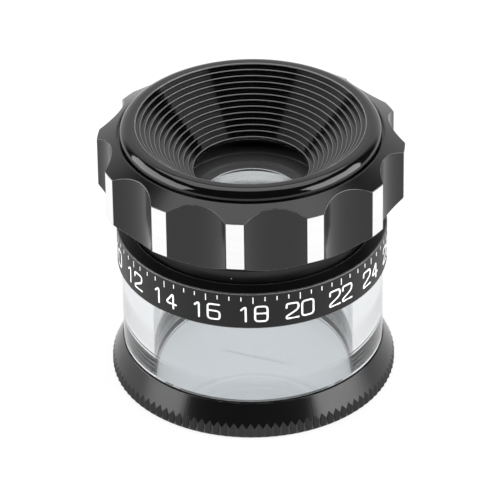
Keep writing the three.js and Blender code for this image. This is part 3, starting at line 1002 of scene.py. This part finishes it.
class MAGNIFIER_OT_lenses(PieceMaker, bpy.types.Operator):
    """Make the two cemented pairs of lenses and the spacer between them"""

    bl_idname = "magnifier.lenses"
    bl_label = "Lenses and Spacer"

    dome_steps = 24
    # How much wider than in the frame the spacer's bore is
    bore_relief = 0.35 * MM

    def make(self, sizes):
        """A lens face is a sphere through its rim and its apex: z = zc + R cos(a), r = R sin(a). The two
        lenses of a pair are cemented without a gap, so they are one body of glass. The upper faces are
        flatter than in the frame: they fill the share of its dome's height between the two shares. The
        lower face of the upper pair reaches out to the spacer's bore, and so the view through the eye
        hole reaches the base."""
        steps = sizes.round_steps // 2
        spacer_bore = radii("lens_spacer")[0] + self.bore_relief
        corner_rows = EDGE_STEPS + 1
        for name, below, above, clear_low, low_share, high_share in (
            ("field_pair", "field_flint", "field_crown", radii("field_flint")[-2], 0.0, 0.25),
            ("eye_pair", "eye_crown", "eye_flint", spacer_bore, 0.65, 1.0),
        ):
            radius = radii(below)[-1]
            clear_high = radii(above)[-2]
            rim_low = heights(below, radius)[0]
            rim_high = heights(above, radius)[-1]
            rise = heights(above, 0)[-1] - rim_high
            dome_low = rim_high + low_share * rise
            apex = rim_high + high_share * rise
            outline = [(clear_low, rim_low), (radius, rim_low), (radius, rim_high), (clear_high, rim_high)]
            edges = rounded(outline, sizes.edge_cut * WIDE_EDGE, EDGE_STEPS)
            rows = np.concatenate([
                self.dome(clear_low, rim_low, heights(below, 0)[0]),
                edges[corner_rows:-corner_rows],
                arc_rows([(clear_high, rim_high)]),
                self.dome(clear_high, dome_low + SAME_PLACE, apex)[::-1],
            ])
            add_turned(
                name, rows, even_angles(steps), ["lens_glass"], "lens_stack", "optical_glass", below, above,
                clear_piece=True,
            )
        add_ring(
            "spacer_tube", "lens_spacer", sizes.edge_cut, steps, "bright_bore", "lens_stack",
            "bare_aluminium", self.bore_relief,
        )

    def dome(self, edge, edge_height, apex):
        """Rows of a spherical cap from its apex to its edge."""
        rise = apex - edge_height
        sphere = (edge**2 + rise**2) / (2 * abs(rise))
        angle = np.linspace(0, math.asin(edge / sphere), self.dome_steps + 1)
        height = apex - math.copysign(1, rise) * sphere * (1 - np.cos(angle))
        return arc_rows(np.column_stack([sphere * np.sin(angle), height]))


class MAGNIFIER_OT_lens_retainer(PieceMaker, bpy.types.Operator):
    """Make the stepped ring that holds the top lens, with its slots for a spanner"""

    bl_idname = "magnifier.lens_retainer"
    bl_label = "Lens Retainer"

    slot_width = 1.2 * MM
    slot_depth = 0.35 * MM
    slot_steps = 6
    # A circle of the frame has more corners than this, and a slot has fewer
    circle_corners = 100

    def make(self, sizes):
        """A turned ring whose top is cut down between two planes beside the X axis. Near that axis the
        columns of the grid are lines of constant y, so the slot's walls are straight: the angle of such a
        column is a quarter turn less asin(y / radius)."""
        bore, step, shelf, outer = radii("lens_retainer", shared=self.circle_corners)
        low, inner_edge, step_height, top = heights("lens_retainer", shared=self.circle_corners)
        outline = [
            (bore, low), (outer, low), (outer, top), (shelf, top), (step, step_height), (bore, inner_edge),
        ]
        # Rounding of each corner, in edge breaks
        cut = sizes.edge_cut * np.array([1, 1, 1.6, 1, 1, 1])
        rows = rounded(outline, cut, EDGE_STEPS)
        half = self.slot_width / 2
        edge = sizes.edge_cut / 2
        floor_lines = np.linspace(0, half - edge, self.slot_steps, endpoint=False)
        across = np.concatenate([floor_lines, [half - edge, half, half + edge]])
        depth = np.concatenate([np.ones_like(floor_lines), [1.0, 0.5, 0.0]])
        share = np.linspace(0, 1, sizes.round_steps // 4)[1:-1]
        radius = rows[:, :1]
        near = math.pi / 2 - np.arcsin(across[None, ::-1] / radius)
        far = near[:, :1] * share[None, :]
        quarter = np.concatenate([np.zeros_like(radius), far, near], axis=1)
        drop = np.concatenate([np.zeros(1 + len(share)), depth[::-1]])
        angles = np.concatenate([
            quarter, math.pi - quarter[:, -2:0:-1], math.pi + quarter, FULL_TURN - quarter[:, -2:0:-1]
        ], axis=1)
        drop = np.concatenate([drop, drop[-2:0:-1]] * 2)
        sections = one_for_each(rows, angles.shape[1])
        lowered = np.minimum(sections[..., 1], top - self.slot_depth)
        sections[..., 1] += (lowered - sections[..., 1]) * drop
        add_turned(
            "lens_retainer_ring", sections, angles, ["inside_black"], "eyepiece", "matt_black",
            "lens_retainer",
        )


class MAGNIFIER_OT_inner_sleeve(PieceMaker, bpy.types.Operator):
    """Make the inner sleeve with its index dot"""

    bl_idname = "magnifier.inner_sleeve"
    bl_label = "Inner Sleeve"

    dot_angle = math.radians(-10)
    dot_height = 25.05 * MM
    dot_width = 0.16 * MM
    dot_rise = 0.015 * MM
    # Half the length of the short stroke that makes the dot
    dot_reach = 0.01 * MM

    def make(self, sizes):
        """A turned tube with a web that grips the lens barrel."""
        web_bore, bore, outer = radii("inner_sleeve")
        low, web_low, web_high, high = heights("inner_sleeve")
        outline = [
            (bore, low), (outer, low), (outer, high), (bore, high), (bore, web_high),
            (web_bore, web_high), (web_bore, web_low), (bore, web_low),
        ]
        add_turned(
            "inner_sleeve_tube", rounded(outline, sizes.edge_cut, EDGE_STEPS),
            even_angles(sizes.round_steps), ["sleeve_black"], "eyepiece", "black_anodised", "inner_sleeve",
        )
        along = self.dot_angle * outer
        dot = [(along - self.dot_reach, self.dot_height), (along + self.dot_reach, self.dot_height)]
        add_strokes(
            "index_dot", [(dot, False)], self.dot_width, self.dot_rise, round_wall(outer),
            "figure_white", "eyepiece", "engraving_white",
        )


class MAGNIFIER_OT_focus_ring(PieceMaker, bpy.types.Operator):
    """Make the focus ring: a double cone cut by twelve scallops between bare lands"""

    bl_idname = "magnifier.focus_ring"
    bl_label = "Focus Ring"

    lands = 12
    turn = math.radians(-6.25)
    land_steps = 6
    scallop_steps = 30
    corner_steps = 4
    edge_steps = 4
    rim_width = 0.2 * MM

    def make(self, sizes):
        """In plan a scallop is an arc of radius F about a centre C outside the ring, so that its radius at
        the angle t is C cos t - sqrt(F^2 - (C sin t)^2). Each section is cut by that radius between the
        lower and the upper cone, and so the scallops run out in curves on both."""
        low = heights("focus_ring")[0]
        all_radii = radii("focus_ring")
        bore, land = all_radii[[0, -1]]
        foot = radii("focus_ring", low)[-1]
        rim, high, eyecup_seat = ring_rim()
        scallop = all_radii[all_radii > foot + sizes.edge_cut][0]
        land_low, land_high = heights("focus_ring", land)
        plan_radius, plan_angle, on_land = self.plan(sizes, scallop, land)
        low_cone = low + (plan_radius - foot) * (land_low - low) / (land - foot)
        high_cone = land_high + (land - plan_radius) * (high - land_high) / (land - rim)
        inside = rim - self.rim_width
        seat = eyecup_seat - SAME_PLACE
        outline = at_angles([
            (bore, low), (foot, low), (plan_radius, low_cone), (plan_radius, high_cone), (rim, high),
            (inside, high), (inside, seat), (bore, seat),
        ], len(plan_radius))
        # Rounding of each corner, in edge breaks
        cut = sizes.edge_cut * np.array([1, 1.5, 1.2, 1.2, 1, 0.8, 0.5, 1])
        sections = rounded(outline, cut, self.edge_steps)
        # The wall between the cones starts at the last row of the third corner
        wall = np.arange(len(sections)) == 3 * (self.edge_steps + 1) - 1
        slots = (wall[:, None] & on_land[None, :]).astype(int)
        add_turned(
            "focus_ring_grip", sections, plan_angle, ["ring_black", "bare_land"], "eyepiece",
            "black_anodised", "focus_ring", slots=slots.ravel(),
        )

    def plan(self, sizes, scallop, land):
        """Radius and angle of each column, and whether the faces beyond it lie on a land."""
        period = FULL_TURN / self.lands
        half_land = math.asin(sizes.land_width / 2 / land)
        half_scallop = period / 2 - half_land
        edge = land * math.cos(half_scallop)
        centre = (land**2 - scallop**2) / (2 * (edge - scallop))
        flute = centre - scallop
        widest = math.asin(land * math.sin(half_scallop) / flute)
        land_cut = sizes.land_cut / land
        flute_cut = sizes.land_cut / flute
        arc = np.linspace(-half_land + land_cut, half_land - land_cut, self.land_steps + 1)
        land_points = land * np.exp(1j * arc)
        sweep = np.linspace(-widest + flute_cut, widest - flute_cut, self.scallop_steps + 1)
        scallop_points = (centre - flute * np.exp(-1j * sweep)) * np.exp(0.5j * period)
        corner = land * np.exp(1j * half_land)
        s = np.linspace(0, 1, self.corner_steps + 1)[1:-1]
        first = land_points[-1] * (1 - s) ** 2 + 2 * corner * s * (1 - s) + scallop_points[0] * s**2
        second = np.conj(first[::-1]) * np.exp(1j * period)
        points = np.concatenate([land_points, first, scallop_points, second])
        on_land = np.arange(len(points)) < self.land_steps
        starts = self.turn + period * np.arange(self.lands)
        points = (points[None, :] * np.exp(1j * starts)[:, None]).ravel()
        return abs(points), np.unwrap(np.angle(points)), np.tile(on_land, self.lands)


class MAGNIFIER_OT_eyecup(PieceMaker, bpy.types.Operator):
    """Make the glossy eyecup: a rounded lip over a funnel of twelve anti-glare steps"""

    bl_idname = "magnifier.eyecup"
    bl_label = "Eyecup"

    funnel_steps = 12
    lip_points = 20
    # Rounding of the steps' roots and noses
    root_cut = 0.03 * MM
    nose_cut = 0.13 * MM
    # How far the foot of the lip lies inside and below the frame's, and its undercut
    lip_inset = 0.08 * MM
    lip_drop = 0.1 * MM
    undercut = 0.5 * MM
    # The flat shelf inside the lip, and the rounding of its inner edge
    shelf_width = 0.8 * MM
    shelf_cut = 0.22 * MM

    def make(self, sizes):
        """The lip rises from a groove inside the focus ring's rim as a quarter of an ellipse, from
        upright to level. Inside it lies a flat shelf, and then steps drop at an even rise and tread to
        the eye hole, above a wider chamber."""
        all_heights = heights("eyecup")
        foot, chamber_top, hole_ledge, stem_low = all_heights[:4]
        crest_height = all_heights[-1]
        crest = radii("eyecup", crest_height)[0]
        chamber, foot_radius = radii("eyecup", foot)
        stem = radii("eyecup", stem_low)[-1]
        hole, frame_rim = radii("eyecup")[[0, -1]]
        lip_low = heights("eyecup", frame_rim)[0] - self.lip_drop
        rim = frame_rim - self.lip_inset
        groove = rim - self.undercut
        seat = ring_rim()[2]
        lip_edge = crest + self.shelf_width
        angle = np.linspace(0, math.pi / 2, self.lip_points)
        lip = np.column_stack([
            lip_edge + (rim - lip_edge) * np.cos(angle),
            lip_low + (crest_height - lip_low) * np.sin(angle),
        ])
        drop = (crest_height - hole_ledge) / self.funnel_steps
        level = crest_height - drop * np.arange(self.funnel_steps + 1)
        tread = crest - (crest - hole) * np.arange(self.funnel_steps + 1) / self.funnel_steps
        roots = np.column_stack([tread[:-1], level[1:]])
        noses = np.column_stack([tread[1:], level[1:]])
        below = [
            (chamber, foot), (foot_radius, foot), (foot_radius, stem_low), (stem, stem_low),
            (stem, seat), (groove, seat), (groove, lip_low),
        ]
        outline = np.concatenate([
            below, lip, [(crest, crest_height)], np.stack([roots, noses], axis=1).reshape(-1, 2),
            [(hole, chamber_top), (chamber, chamber_top)],
        ])
        first_nose = len(below) + self.lip_points
        cut = np.full(len(outline), self.root_cut)
        cut[len(below)] = sizes.edge_cut
        cut[first_nose::2] = self.nose_cut
        cut[first_nose] = self.shelf_cut
        rows = rounded(outline, cut, EDGE_STEPS)
        # The chamber's ceiling starts a row before the last corner, and its wall ends at the first row
        row = np.arange(len(rows))
        in_chamber = (row >= len(rows) - EDGE_STEPS - 2) | (row == 0)
        add_turned(
            "eyecup_funnel", rows, even_angles(sizes.round_steps), ["eyecup_black", "inside_black"],
            "eyepiece", "gloss_black", "eyecup", slots=np.repeat(in_chamber, sizes.round_steps),
        )


# Stage


def add_thing(name, data, *columns):
    """A new lamp or camera, whose axes and place are the columns."""
    thing = bpy.data.objects.new(name, data)
    matrix = np.eye(4)
    matrix[:3, :] = np.column_stack(columns)
    thing.matrix_world = Matrix(matrix.tolist())
    bpy.context.scene.collection.objects.link(thing)
    return thing


class MAGNIFIER_OT_stage(bpy.types.Operator):
    """Make the camera, the floor, the lamps and the world"""

    bl_idname = "magnifier.stage"
    bl_label = "Stage"

    sensor = 36.0
    nearest = 0.01
    floor_reach = 1.5
    floor_drop = 0.02 * MM
    # How much of the floor's shadow the camera doesn't see
    shadow_relief = 0.8
    # Between these numbers the world's wall fades in, sideways by the sine and upwards by the height
    wall_sides = (0.55, 0.8)
    wall_top = (0.79, 0.72)
    room_light = 0.05

    def execute(self, context):
        scene = context.scene
        scene.view_settings.view_transform = "Standard"
        self.add_camera(scene)
        self.add_floor(scene)
        self.add_lamps()
        self.make_world(scene)
        return {"FINISHED"}

    def add_camera(self, scene):
        """The camera stands back from its target along the line of sight, rolled about that line."""
        stage = scene.magnifier_stage
        sine, cosine = math.sin(stage.elevation), math.cos(stage.elevation)
        forward = np.array([0, cosine, -sine])
        upright = np.array([0, sine, cosine])
        sideways = np.array([1.0, 0, 0])
        turn_sine, turn_cosine = math.sin(stage.roll), math.cos(stage.roll)
        right = turn_cosine * sideways + turn_sine * upright
        up = -turn_sine * sideways + turn_cosine * upright
        place = np.array([stage.target_x, 0, stage.target_z]) - stage.distance * forward
        data = bpy.data.cameras.new("camera")
        data.sensor_width = self.sensor
        data.lens = stage.focal_length
        data.clip_start = self.nearest
        scene.camera = add_thing("camera", data, right, up, -forward, place)

    def add_floor(self, scene):
        """A flat square, pale and matt, whose shadow the camera sees lightened."""
        reach = self.floor_reach
        mesh = bpy.data.meshes.new("floor")
        square = [(-reach, -reach, 0), (reach, -reach, 0), (reach, reach, 0), (-reach, reach, 0)]
        mesh.from_pydata(square, [], [(0, 1, 2, 3)])
        floor = bpy.data.objects.new("floor", mesh)
        floor.location.z = -self.floor_drop
        scene.collection.objects.link(floor)
        material, tree, shader = surface(
            "floor_white", Base_Color=(0.9, 0.9, 0.9, 1.0), Roughness=0.9, Specular_IOR_Level=0.0
        )
        if scene.magnifier_stage.soft_shadow:
            glow = add_node(tree, "ShaderNodeEmission", {"Strength": 1.0})
            path = add_node(tree, "ShaderNodeLightPath").outputs
            seen = math_node(tree, "MAXIMUM", path["Is Camera Ray"], path["Is Transmission Ray"])
            seen = math_node(tree, "MAXIMUM", seen, path["Is Glossy Ray"])
            share = math_node(tree, "MULTIPLY", seen, self.shadow_relief)
            mix = add_node(tree, "ShaderNodeMixShader", {0: share, 1: shader.outputs[0], 2: glow.outputs[0]})
            tree.links.new(mix.outputs[0], tree.nodes["Material Output"].inputs["Surface"])
        mesh.materials.append(material)

    def add_lamps(self):
        """Two large softboxes beside the object, one above it, and a fill that makes no highlights."""
        for name, azimuth, elevation, distance, width, height, radiance in (
            ("softbox_left", -85, 22, 0.36, 0.41, 0.26, 4.5),
            ("softbox_right", 74, 22, 0.36, 0.35, 0.26, 5.5),
            ("softbox_above", 180, 79, 0.55, 0.6, 0.4, 2.5),
            ("fill_front", 0, 60, 0.6, 0.5, 0.4, 2.6),
        ):
            a, e = math.radians(azimuth), math.radians(elevation)
            back = np.array([math.sin(a) * math.cos(e), -math.cos(a) * math.cos(e), math.sin(e)])
            side = np.array([math.cos(a), math.sin(a), 0])
            lamp = bpy.data.lights.new(name, "AREA")
            lamp.shape = "RECTANGLE"
            lamp.size, lamp.size_y = width, height
            lamp.energy = radiance * math.pi * width * height
            thing = add_thing(name, lamp, side, np.cross(back, side), back, back * distance)
            thing.visible_camera = False
            thing.visible_transmission = False
            thing.visible_glossy = name != "fill_front"

    def make_world(self, scene):
        """White to the camera and through glass. Other rays see a pale wall behind the object, from the
        horizon to high up, and a dim room elsewhere."""
        world = bpy.data.worlds.new("studio")
        world.use_nodes = True
        tree = world.node_tree
        place = add_node(tree, "ShaderNodeTexCoord").outputs["Generated"]
        parts = add_node(tree, "ShaderNodeSeparateXYZ", {0: place}).outputs
        facing = math_node(tree, "DIVIDE", parts["Y"], length_across(tree, parts))
        beside = ramp(tree, facing, *self.wall_sides)
        wall = math_node(tree, "MULTIPLY", beside, ramp(tree, parts["Z"], *self.wall_top))
        strength = math_node(tree, "MULTIPLY_ADD", wall, 1 - self.room_light, self.room_light)
        path = add_node(tree, "ShaderNodeLightPath").outputs
        plain = math_node(tree, "MAXIMUM", path["Is Camera Ray"], path["Is Transmission Ray"])
        background = tree.nodes["Background"].inputs
        tree.links.new(math_node(tree, "MAXIMUM", strength, plain), background["Strength"])
        background["Color"].default_value = (1.0, 1.0, 1.0, 1.0)
        scene.world = world


# Panel and registration


OPERATORS = (
    MAGNIFIER_OT_stage,
    MAGNIFIER_OT_base_ring,
    MAGNIFIER_OT_scale_glass,
    MAGNIFIER_OT_clear_skirt,
    MAGNIFIER_OT_body_barrel,
    MAGNIFIER_OT_helicoid_hub,
    MAGNIFIER_OT_lens_barrel,
    MAGNIFIER_OT_lenses,
    MAGNIFIER_OT_lens_retainer,
    MAGNIFIER_OT_inner_sleeve,
    MAGNIFIER_OT_focus_ring,
    MAGNIFIER_OT_eyecup,
)
SETTINGS = {
    "magnifier_sizes": MagnifierSizes,
    "magnifier_colours": MagnifierColours,
    "magnifier_stage": MagnifierStage,
}


class MAGNIFIER_PT_pieces(bpy.types.Panel):
    """Lists the pieces of the magnifier and their settings"""

    bl_idname = "MAGNIFIER_PT_pieces"
    bl_label = "Measuring Magnifier"
    bl_space_type = "VIEW_3D"
    bl_region_type = "UI"
    bl_category = "Magnifier"

    def draw(self, context):
        for name, settings in SETTINGS.items():
            box = self.layout.box()
            for label in settings.__annotations__:
                box.prop(getattr(context.scene, name), label)
        for operator in OPERATORS:
            self.layout.operator(operator.bl_idname)


def register():
    for name, settings in SETTINGS.items():
        bpy.utils.register_class(settings)
        setattr(bpy.types.Scene, name, PointerProperty(type=settings))
    for operator in OPERATORS:
        bpy.utils.register_class(operator)
    bpy.utils.register_class(MAGNIFIER_PT_pieces)


def unregister():
    bpy.utils.unregister_class(MAGNIFIER_PT_pieces)
    for operator in reversed(OPERATORS):
        bpy.utils.unregister_class(operator)
    for name, settings in SETTINGS.items():
        delattr(bpy.types.Scene, name)
        bpy.utils.unregister_class(settings)


def main():
    """Makes every piece and the stage."""
    register()
    bpy.ops.magnifier.stage()
    bpy.ops.magnifier.base_ring()
    bpy.ops.magnifier.scale_glass()
    bpy.ops.magnifier.clear_skirt()
    bpy.ops.magnifier.body_barrel()
    bpy.ops.magnifier.helicoid_hub()
    bpy.ops.magnifier.lens_barrel()
    bpy.ops.magnifier.lenses()
    bpy.ops.magnifier.lens_retainer()
    bpy.ops.magnifier.inner_sleeve()
    bpy.ops.magnifier.focus_ring()
    bpy.ops.magnifier.eyecup()


if __name__ == "__main__":
    main()
